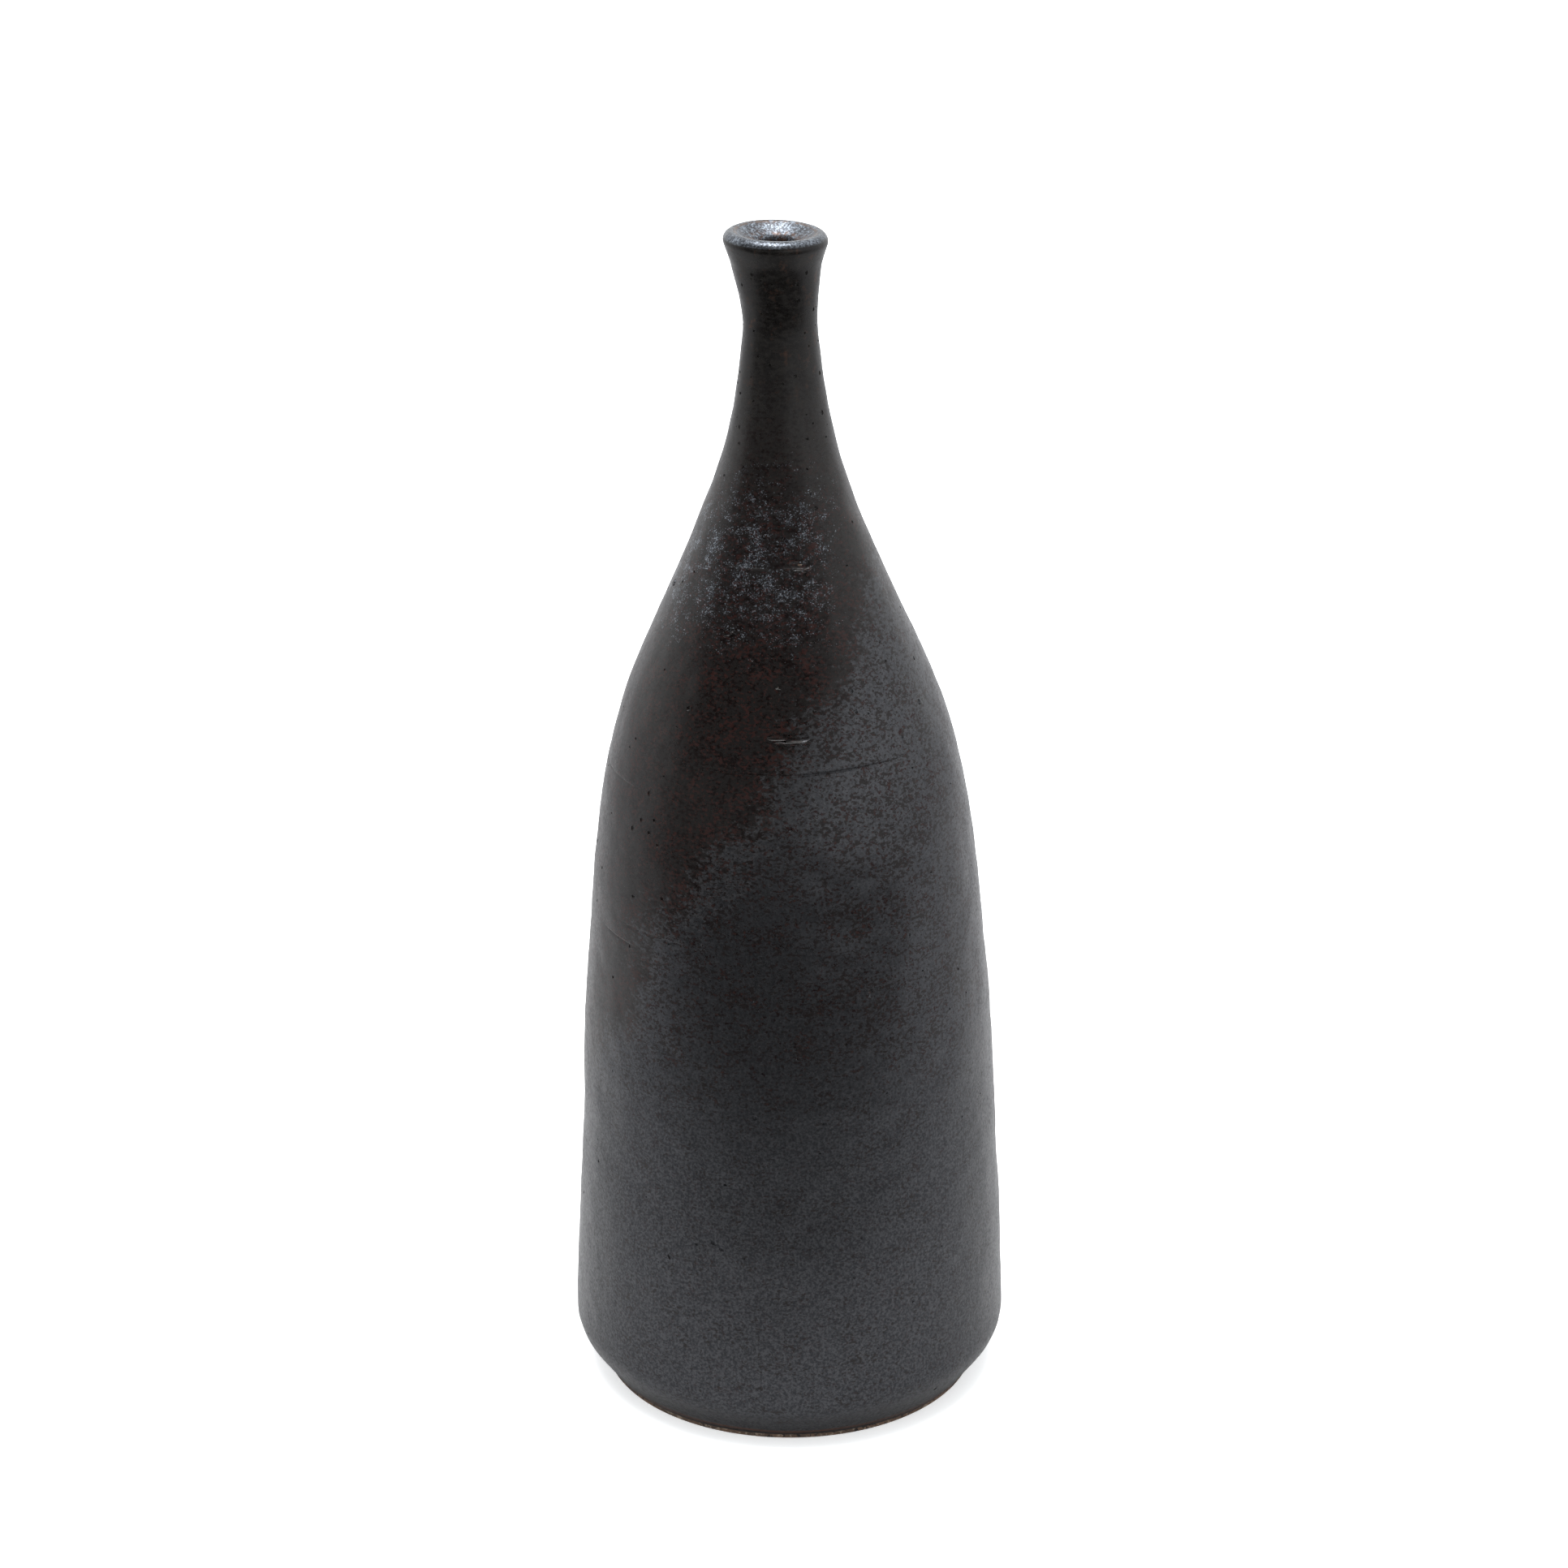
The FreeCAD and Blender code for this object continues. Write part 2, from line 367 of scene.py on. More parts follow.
def warp(piece, shape):
    """Leans and warps a turned piece as throwing does. The foot stays flat and round. Every
    piece is moved by the same amounts, so that they still fit."""
    sway = piece.modifiers.new("unevenness", "DISPLACE")
    sway.texture = clouds("unevenness", 34 * MM, "COLOR")
    sway.texture_coords = "LOCAL"
    sway.direction = "RGB_TO_XYZ"
    sway.strength = shape.unevenness
    sway.vertex_group = weigh(
        piece, "above_foot",
        lambda co: ease(10 * MM, 45 * MM, co.z) * (1 - 0.6 * ease(200 * MM, 230 * MM, co.z)),
    )
    apply_modifier(piece, sway)
    piece.vertex_groups.clear()
    top = CAD_BOX[1].z
    edit(piece)
    select_points(piece, lambda co: co.z > NECK_ROOT * MM)
    bpy.ops.transform.translate(
        value=(-shape.lean, 0, 0), use_proportional_edit=True,
        proportional_edit_falloff="LINEAR", proportional_size=(NECK_ROOT - LEAN_STARTS) * MM,
    )
    select_points(piece, lambda co: co.z > top - 1.2 * MM)
    bpy.ops.transform.translate(
        value=(-shape.lip_drift, 0, 0), use_proportional_edit=True,
        proportional_edit_falloff="SMOOTH", proportional_size=20 * MM,
    )
    for axis, angle in (("Y", -shape.lip_tilt), ("X", -shape.lip_nod)):
        bpy.ops.transform.rotate(
            value=angle, orient_axis=axis, center_override=(-shape.lean - shape.lip_drift, 0, top),
            use_proportional_edit=True, proportional_edit_falloff="SMOOTH", proportional_size=14 * MM,
        )
    clear_selection()


def finish_piece(piece, materials, node):
    """Shades a piece, gives it its materials and stands it in for its node of the frame."""
    clear_selection()
    piece.select_set(True)
    bpy.context.view_layer.objects.active = piece
    bpy.ops.object.shade_smooth_by_angle(angle=math.radians(32))
    piece.data.materials.clear()
    for material in materials:
        piece.data.materials.append(material)
    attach(piece, "root")
    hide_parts(node)


# ---------------------------------------------------------------- marks in the glaze


class Mark:
    """A flaw in the outside glaze: where it is, how large, and how it is turned.

    angle is in degrees round from the front, -Y, towards +X. height, across, high and deep are
    in millimetres, and lean turns the mark in the face, in degrees."""

    def __init__(self, angle, height, across, high=None, deep=0.3, lean=0.0, kind=0):
        self.angle = angle
        self.height = height
        self.across = across
        self.high = high or across
        self.deep = deep
        self.lean = lean
        self.kind = kind


# The flaws that anyone would notice, from the neck down.
NOTED_PITS = (
    Mark(-35, 252.5, 0.8),
    Mark(41, 252.7, 0.9),
    Mark(63, 244.5, 0.8),
    Mark(69, 231, 0.9),
    Mark(61, 223, 1.0),
    Mark(-24, 180.6, 2.0, 1.5, deep=0.36, lean=20),
    Mark(-11, 176, 0.8),
    Mark(0, 171, 1.4, 1.1, deep=0.34),
    Mark(16, 171, 0.8),
    Mark(30, 169, 0.9),
    Mark(13, 166, 0.8),
    Mark(30, 165, 1.1),
    Mark(-36, 165, 1.0),
    Mark(62, 163, 1.2),
    Mark(-47, 146, 1.3),
    Mark(3, 143, 1.0),
    Mark(-43, 141, 1.2, 0.9),
    Mark(-49, 140, 1.1),
    Mark(-45, 138, 0.9),
    Mark(-53, 137.5, 1.2),
    Mark(-41, 136, 0.8),
    Mark(-18, 126, 1.1),
    Mark(-38, 125, 1.0),
    Mark(-50, 123, 1.2, 0.8),
    Mark(-35, 115.5, 0.9),
    Mark(24, 107, 1.1),
    Mark(16, 96, 0.9),
    Mark(-9, 80, 1.2),
    Mark(19, 51, 0.9),
    Mark(-20.2, 49.6, 1.6, 1.1, lean=-25),
    Mark(-18.0, 48.5, 1.4, 1.0, lean=-25),
    Mark(-25, 48.5, 0.9),
    Mark(-12, 47, 0.8),
    Mark(-33, 44, 1.2),
    Mark(17, 42, 1.0),
    Mark(34, 33, 1.1),
    Mark(43, 8, 1.0),
)
# Grit dragged through the wet glaze tore two slots, the lower one in two strokes. Burrs were
# pushed up under the slots and at a few large pits.
DRAGS = (
    Mark(0.4, 161.3, 5.6, 1.5, deep=0.36, lean=2),
    Mark(6.9, 161.2, 6.0, 1.8, deep=0.37, lean=0),
    Mark(14.0, 194.2, 5.4, 2.1, deep=0.37, lean=-4),
)
BURRS = (
    Mark(0.6, 160.15, 3.0, 0.6, deep=0.25, lean=2),
    Mark(6.0, 160.1, 6.4, 0.9, deep=0.5, lean=0),
    Mark(12.6, 192.8, 3.0, 1.2, deep=0.55, lean=-6),
    Mark(17.4, 193.1, 2.4, 1.0, deep=0.5, lean=15),
    Mark(-24.6, 179.9, 1.6, 0.6, deep=0.3, lean=10),
    Mark(-22.0, 180.7, 1.0, 0.9, deep=0.45, lean=0),
    Mark(0.4, 170.4, 1.0, 0.4, deep=0.18, lean=5),
    Mark(-78, 186, 2.2, 1.8, deep=0.3),
)
# Level scores left by the rib: (height, first angle, last angle, depth) in millimetres and degrees.
SCORES = (
    (193.5, -40, 14, 0.10),
    (154.0, -40, 52, 0.11),
    (146.0, -88, -50, 0.10),
    (116.0, -57, -27, 0.08),
    (112.0, -68, -47, 0.10),
    (178.0, 150, 235, 0.10),
    (131.0, 95, 160, 0.09),
    (88.0, 190, 260, 0.10),
)
SCORE_HALF_WIDTH = 0.32
SCATTERED_PITS = 260


def apart(mark, other):
    """Whether two marks leave clear glaze between them, wherever on the wall they are."""
    turn = abs((mark.angle - other.angle + 180) % 360 - 180)
    along = math.radians(turn) * LIP[0]
    reach = (mark.across + other.across) / 2 + 0.3
    return math.hypot(along, mark.height - other.height) > reach


def scattered_pits():
    """Small pits all round, thickest where the glaze is thick, in the same places each time."""
    chance = random.Random(7)
    taken = [*NOTED_PITS, *DRAGS, *BURRS]
    marks = []
    while len(marks) < SCATTERED_PITS:
        height = chance.uniform(7, 252)
        crowding = 0.35 + 0.65 * ease(60, 150, height)
        if chance.random() > crowding:
            continue
        across = chance.uniform(0.35, 0.95) ** 1.3 + 0.1
        high = across * chance.uniform(0.6, 1.0)
        angle = chance.uniform(0, 360)
        lean = chance.uniform(-40, 40)
        mark = Mark(angle, height, across, high, 0.22, lean, chance.randrange(4))
        if all(apart(mark, other) for other in taken):
            taken.append(mark)
            marks.append(mark)
    return marks


def lump(kind, subdivisions, roughness):
    """A roughened ball of radius 1, to be a pit's cutter or a burr."""
    clear_selection()
    bpy.ops.mesh.primitive_ico_sphere_add(subdivisions=subdivisions, radius=1, location=(0, 0, 0))
    ball = bpy.context.object
    bpy.ops.object.mode_set(mode="EDIT")
    bpy.ops.mesh.select_all(action="SELECT")
    bpy.ops.transform.vertex_random(offset=roughness, uniform=0.5, normal=0.5, seed=kind + 1)
    bpy.ops.object.mode_set(mode="OBJECT")
    return ball


def face_at(piece, mark):
    """Where a mark sits on a piece, and the outward direction there."""
    angle = math.radians(mark.angle)
    outward = Vector((math.sin(angle), -math.cos(angle), 0))
    shift = Vector((-NECK_SHIFT / 1000 * ease(LEAN_STARTS, NECK_ROOT, mark.height), 0, 0))
    start = outward * 0.2 + shift + Vector((0, 0, mark.height * MM))
    hit, place, normal, _ = piece.ray_cast(start, -outward)
    if not hit:
        raise RuntimeError(f"no glaze at angle {mark.angle}, height {mark.height}")
    return place, normal


def lumps_on(piece, name, marks, balls, sink, material_index, material_count):
    """One object of all the marks' lumps, each laid in the face of the piece and sunk in it by
    a share of its own depth."""
    clear_selection()
    copies = []
    for mark in marks:
        place, normal = face_at(piece, mark)
        sideways = Vector((0, 0, 1)).cross(normal).normalized()
        upwards = normal.cross(sideways)
        turn = Matrix((sideways, upwards, normal)).transposed().to_4x4()
        spread = Matrix.Diagonal((mark.across / 2 * MM, mark.high / 2 * MM, mark.deep * MM, 1))
        twist = Matrix.Rotation(math.radians(mark.lean), 4, "Z")
        centre = Matrix.Translation(place - normal * mark.deep * MM * sink)
        ball = balls[mark.kind % len(balls)]
        copy = bpy.data.objects.new(name, ball.data.copy())
        bpy.context.scene.collection.objects.link(copy)
        copy.data.transform(centre @ turn @ twist @ spread)
        copies.append(copy)
    for copy in copies:
        copy.select_set(True)
    bpy.context.view_layer.objects.active = copies[0]
    if len(copies) > 1:
        bpy.ops.object.join()
    joined = bpy.context.object
    for _ in range(material_count):
        joined.data.materials.append(None)
    joined.data.polygons.foreach_set("material_index", [material_index] * len(joined.data.polygons))
    return joined


def combine(piece, other, operation):
    """Cuts the other object from the piece, or adds it, and takes the other away."""
    joint = piece.modifiers.new(operation.lower(), "BOOLEAN")
    joint.operation = operation
    joint.solver = "MANIFOLD"
    joint.object = other
    before = len(piece.data.polygons)
    apply_modifier(piece, joint)
    bpy.data.objects.remove(other)
    if len(piece.data.polygons) <= before:
        raise RuntimeError(f"{operation} left {piece.name} as it was")


# ---------------------------------------------------------------- the pieces


def score(piece):
    """Cuts the rib's level scores, which fade out at their ends."""

    def depth_at(co):
        if math.hypot(co.x, co.y) < 0.001:
            return 0.0
        angle = math.degrees(math.atan2(co.x, -co.y))
        total = 0.0
        for height, first, last, deep in SCORES:
            off = abs(co.z / MM - height)
            turn = (angle - first) % 360
            if off < SCORE_HALF_WIDTH * 0.5 and turn < last - first:
                ends = min(turn, last - first - turn)
                total = max(total, deep * ease(0, 5, ends))
        return total

    facing_out = [v.normal.x * v.co.x + v.normal.y * v.co.y > 0 for v in piece.data.vertices]
    group = piece.vertex_groups.new(name="scores")
    for v, outer in zip(piece.data.vertices, facing_out):
        if outer:
            group.add([v.index], depth_at(v.co), "REPLACE")
    cut = piece.modifiers.new("scores", "DISPLACE")
    cut.direction = "NORMAL"
    cut.mid_level = 0
    cut.strength = -1.0 * MM
    cut.vertex_group = group.name
    apply_modifier(piece, cut)
    piece.vertex_groups.clear()


def ripple(piece, shape):
    """Raises small waves on the outer face of the coat, none at the lip or the lower edge."""
    waves = piece.modifiers.new("ripple", "DISPLACE")
    waves.texture = clouds("ripple", 5.5 * MM)
    waves.texture_coords = "LOCAL"
    waves.direction = "NORMAL"
    waves.strength = shape.ripple * 2
    outward = {
        tuple(v.co): v.normal.x * v.co.x + v.normal.y * v.co.y > 0 for v in piece.data.vertices
    }

    def height_at(co):
        fade = ease(5 * MM, 12 * MM, co.z) * (1 - ease(253 * MM, 258 * MM, co.z))
        return outward[tuple(co)] * fade

    waves.vertex_group = weigh(piece, "ripple", height_at)
    apply_modifier(piece, waves)
    piece.vertex_groups.clear()


def with_scores(line):
    """The outside line with three close points where each score crosses it."""
    marks = sorted(height for height, *_ in SCORES)
    points = []
    for a, b in zip(line, line[1:]):
        points.append(a)
        for height in marks:
            if a[1] <= height < b[1]:
                for offset in (-SCORE_HALF_WIDTH, 0.0, SCORE_HALF_WIDTH):
                    share = (height + offset - a[1]) / (b[1] - a[1])
                    points.append((a[0] + (b[0] - a[0]) * share, height + offset))
    points.append(line[-1])
    points.sort(key=lambda point: point[1])
    return points


def glaze_bead():
    """The thick rolled edge where the glaze stopped running, from the clay round to its face."""
    facing = SKIRT_SLOPE - 90
    return arc(skirt_end(COAT), COAT + 0.08, facing - 100, facing + 12, 8)


class VASE_OT_outer_glaze(bpy.types.Operator):
    """Model the poured glaze coat over the outside, with its scores, pits and drags"""

    bl_idname = "vase.outer_glaze"
    bl_label = "Outside Glaze"

    def execute(self, context):
        shape = context.scene.vase_shape
        row = shape.rows / MM
        bead = glaze_bead()
        face = [p for p in outside_line(0, row) if p[1] > bead[-1][1] + 0.3]
        wall = [p for p in face if p[1] < LIP[1]]
        lip = [p for p in face if p[1] >= LIP[1]]
        outline = bead + with_scores(wall) + lip + outside_line(COAT, COARSE_ROW)[::-1][:-1]
        coat = spin_piece("outside_glaze_coat", outline, shape.facets)
        score(coat)
        ripple(coat, shape)
        warp(coat, shape)
        fine = [lump(kind, 2, 0.2) for kind in range(4)]
        rough = [lump(4, 3, 0.035)]
        burrs = lumps_on(coat, "burrs", BURRS, rough, 0.1, 2, 3)
        pits = list(NOTED_PITS) + scattered_pits()
        cutters = lumps_on(coat, "pit_cutters", pits, fine, 0.0, 1, 3)
        drags = lumps_on(coat, "drag_cutters", DRAGS, rough, 0.0, 1, 3)
        combine(coat, cutters, "DIFFERENCE")
        combine(coat, drags, "DIFFERENCE")
        combine(coat, burrs, "UNION")
        for ball in fine + rough:
            bpy.data.objects.remove(ball)
        looks = context.scene.vase_glaze
        materials = [outside_material(looks), pit_material(), burr_material()]
        finish_piece(coat, materials, "outer_glaze")
        return {"FINISHED"}


class VASE_OT_inner_glaze(bpy.types.Operator):
    """Model the glaze lining of the mouth, the bore and the hollow"""

    bl_idname = "vase.inner_glaze"
    bl_label = "Inside Glaze"

    def execute(self, context):
        shape = context.scene.vase_shape
        outline = inside_line(COAT, COARSE_ROW)[::-1] + inside_line(0, 3.0)
        lining = spin_piece("inside_glaze_lining", outline, shape.facets)
        warp(lining, shape)
        finish_piece(lining, [lining_material()], "inner_glaze")
        return {"FINISHED"}


class VASE_OT_clay_body(bpy.types.Operator):
    """Model the thrown clay body, bare at its foot and turned underneath"""

    bl_idname = "vase.clay_body"
    bl_label = "Clay Body"

    def execute(self, context):
        shape = context.scene.vase_shape
        grooves = 13
        per_groove = 6
        groove_half_depth = 0.12
        inner = RECESS_RADIUS - RECESS_SLOPE
        recess = []
        for k in range(grooves * per_groove):
            radius = inner * k / (grooves * per_groove)
            wave = 1 - math.cos(2 * math.pi * k / per_groove)
            wave *= groove_half_depth * ease(0, 3, radius)
            recess.append((radius, RECESS_DEPTH - wave))
        ring = [
            (inner, RECESS_DEPTH),
            (RECESS_RADIUS - 0.35, 0.5),
            (RECESS_RADIUS + 0.1, 0.08),
            (RECESS_RADIUS + 0.6, 0.0),
            (FOOT_RADIUS - FOOT_BEVEL, 0.0),
        ]
        bevel = arc((FOOT_RADIUS - FOOT_BEVEL, FOOT_BEVEL), FOOT_BEVEL, -75, 0, 5)
        side = outside_line(COAT, 3.0)
        band = evenly([bevel[-1], side[0]], 0.3)[1:-1]
        outline = recess + ring + bevel + band + side[:-1] + inside_line(COAT, COARSE_ROW)
        clay = spin_piece("thrown_clay_body", outline, 180)
        warp(clay, shape)
        finish_piece(clay, [clay_material(context.scene.vase_glaze)], "clay_body")
        return {"FINISHED"}


# ---------------------------------------------------------------- surfaces


class Nodes:
    """Adds nodes to one tree, each wired to sockets or set to plain values as it is made."""

    def __init__(self, tree):
        self.tree = tree

    def add(self, kind, wires, **settings):
        node = self.tree.nodes.new(kind)
        for key, value in settings.items():
            setattr(node, key, value)
        for key, value in wires.items():
            self.wire(node.inputs[key], value)
        return node

    def wire(self, socket, value):
        if isinstance(value, bpy.types.NodeSocket):
            self.tree.links.new(value, socket)
        else:
            socket.default_value = value

    def calculate(self, operation, *values):
        node = self.tree.nodes.new("ShaderNodeMath")
        node.operation = operation
        for socket, value in zip(node.inputs, values):
            self.wire(socket, value)
        return node.outputs[0]

    def plus(self, first, second):
        return self.calculate("ADD", first, second)

    def minus(self, first, second):
        return self.calculate("SUBTRACT", first, second)

    def times(self, first, second):
        return self.calculate("MULTIPLY", first, second)

    def mask(self, value, low, high, to_low=0.0, to_high=1.0):
        """Smoothly to_low where value is under low, and to_high where it is over high."""
        node = self.tree.nodes.new("ShaderNodeMapRange")
        node.interpolation_type = "SMOOTHSTEP"
        for socket, given in zip(node.inputs, (value, low, high, to_low, to_high)):
            self.wire(socket, given)
        return node.outputs["Result"]

    def mix(self, factor, under, over):
        """One colour over another."""
        node = self.tree.nodes.new("ShaderNodeMix")
        node.data_type = "RGBA"
        self.wire(node.inputs[0], factor)
        self.wire(node.inputs[6], under)
        self.wire(node.inputs[7], over)
        return node.outputs[2]

    def noise(self, position, size, detail=2.0, roughness=0.5):
        """Cloudy noise whose lumps are about size across, in the position's own unit."""
        wires = {"Vector": position, "Scale": 1.0 / size, "Detail": detail, "Roughness": roughness}
        return self.add("ShaderNodeTexNoise", wires).outputs["Fac"]

    def moved(self, position, offset=(0, 0, 0), scale=(1, 1, 1)):
        wires = {"Vector": position, "Location": offset, "Scale": scale}
        return self.add("ShaderNodeMapping", wires).outputs["Vector"]

    def millimetres(self):
        """Where a point is on the object, in millimetres."""
        place = self.add("ShaderNodeTexCoord", {}).outputs["Object"]
        return self.moved(place, scale=(1000, 1000, 1000))


def effect(name, inputs, outputs, make):
    """A shader node group, made once. make(nodes, given, result) fills it."""
    if name in bpy.data.node_groups:
        return bpy.data.node_groups[name]
    group = bpy.data.node_groups.new(name, "ShaderNodeTree")
    for label, kind, default in inputs:
        socket = group.interface.new_socket(label, in_out="INPUT", socket_type=kind)
        if default is not None:
            socket.default_value = default
    for label, kind in outputs:
        group.interface.new_socket(label, in_out="OUTPUT", socket_type=kind)
    given = group.nodes.new("NodeGroupInput")
    result = group.nodes.new("NodeGroupOutput")
    make(Nodes(group), given.outputs, result.inputs)
    return group


def speckle_effect():
    """Ragged specks scattered in clusters: iron, metal or grit, by its colour."""

    def make(nodes, given, result):
        place = nodes.add(
            "ShaderNodeVectorMath",
            {0: given["Position"], 1: given["Stretch"]},
            operation="MULTIPLY",
        ).outputs[0]
        fine = nodes.tree.nodes.new("ShaderNodeTexNoise")
        scale = nodes.calculate("DIVIDE", 1.0, given["Size"])
        for key, value in (("Vector", place), ("Scale", scale), ("Detail", 4.0), ("Roughness", 0.62)):
            nodes.wire(fine.inputs[key], value)
        clusters = nodes.tree.nodes.new("ShaderNodeTexNoise")
        wide = nodes.calculate("DIVIDE", 0.14, given["Size"])
        for key, value in (("Vector", place), ("Scale", wide), ("Detail", 3.0), ("Roughness", 0.6)):
            nodes.wire(clusters.inputs[key], value)
        crowded = nodes.minus(clusters.outputs["Fac"], 0.5)
        value = nodes.plus(fine.outputs["Fac"], nodes.times(crowded, given["Clusters"]))
        bar = nodes.minus(0.72, nodes.times(given["Amount"], 0.44))
        edge = given["Softness"]
        low = nodes.minus(bar, edge)
        high = nodes.plus(bar, edge)
        nodes.wire(result["Mask"], nodes.mask(value, low, high))

    inputs = (
        ("Position", "NodeSocketVector", None),
        ("Stretch", "NodeSocketVector", (1.0, 1.0, 1.0)),
        ("Size", "NodeSocketFloat", 1.0),
        ("Amount", "NodeSocketFloat", 0.5),
        ("Clusters", "NodeSocketFloat", 0.5),
        ("Softness", "NodeSocketFloat", 0.03),
    )
    return effect("glaze_speckle", inputs, (("Mask", "NodeSocketFloat"),), make)


def crystal_effect():
    """The rough crystalline skin of a matt metallic glaze: tiny grains under a soft orange peel."""

    def make(nodes, given, result):
        place = given["Position"]
        half = (0.5, 0.5, 0.5)
        wobble = nodes.add("ShaderNodeTexNoise", {"Vector": place, "Scale": 2.2, "Detail": 1.0})
        wires = {0: wobble.outputs["Color"], 1: half}
        off = nodes.add("ShaderNodeVectorMath", wires, operation="SUBTRACT").outputs[0]
        wires = {0: off, 1: half, 2: place}
        pushed = nodes.add("ShaderNodeVectorMath", wires, operation="MULTIPLY_ADD").outputs[0]
        scale = nodes.calculate("DIVIDE", 1.0, given["Size"])
        wires = {"Vector": pushed, "Scale": scale}
        grains = nodes.add("ShaderNodeTexVoronoi", wires, feature="SMOOTH_F1")
        dome = nodes.minus(1.0, grains.outputs["Distance"])
        grit = nodes.add(
            "ShaderNodeTexNoise", {"Vector": place, "Scale": scale, "Detail": 3.0, "Roughness": 0.7}
        ).outputs["Fac"]
        peel = nodes.noise(place, 2.4, 2.0)
        height = nodes.plus(nodes.times(dome, 0.35), nodes.times(grit, 0.6))
        height = nodes.plus(nodes.times(height, given["Grain"]),
                           nodes.times(peel, given["Peel"]))
        nodes.wire(result["Height"], height)
        facet = nodes.add("ShaderNodeSeparateColor", {"Color": grains.outputs["Color"]}).outputs["Red"]
        nodes.wire(result["Facet"], facet)

    inputs = (
        ("Position", "NodeSocketVector", None),
        ("Size", "NodeSocketFloat", 0.5),
        ("Grain", "NodeSocketFloat", 0.5),
        ("Peel", "NodeSocketFloat", 1.0),
    )
    outputs = (("Height", "NodeSocketFloat"), ("Facet", "NodeSocketFloat"))
    return effect("crystal_skin", inputs, outputs, make)


def new_material(name):
    """A material with its Principled shader, and a Nodes to fill it with."""
    material = bpy.data.materials.new(name)
    material.use_nodes = True
    shader = material.node_tree.nodes["Principled BSDF"]
    return material, shader, Nodes(material.node_tree)


def place_effect(nodes, group, **values):
    """Places a node group in a material with its own values, and gives its outputs."""
    wires = {key.title(): value for key, value in values.items()}
    return nodes.add("ShaderNodeGroup", wires, node_tree=group).outputs


def bump(nodes, shader, height, depth):
    """Raises a shader's normals by height times depth millimetres."""
    wires = {"Height": height, "Distance": depth / 1000, "Strength": 1.0}
    nodes.wire(shader.inputs["Normal"], nodes.add("ShaderNodeBump", wires).outputs["Normal"])


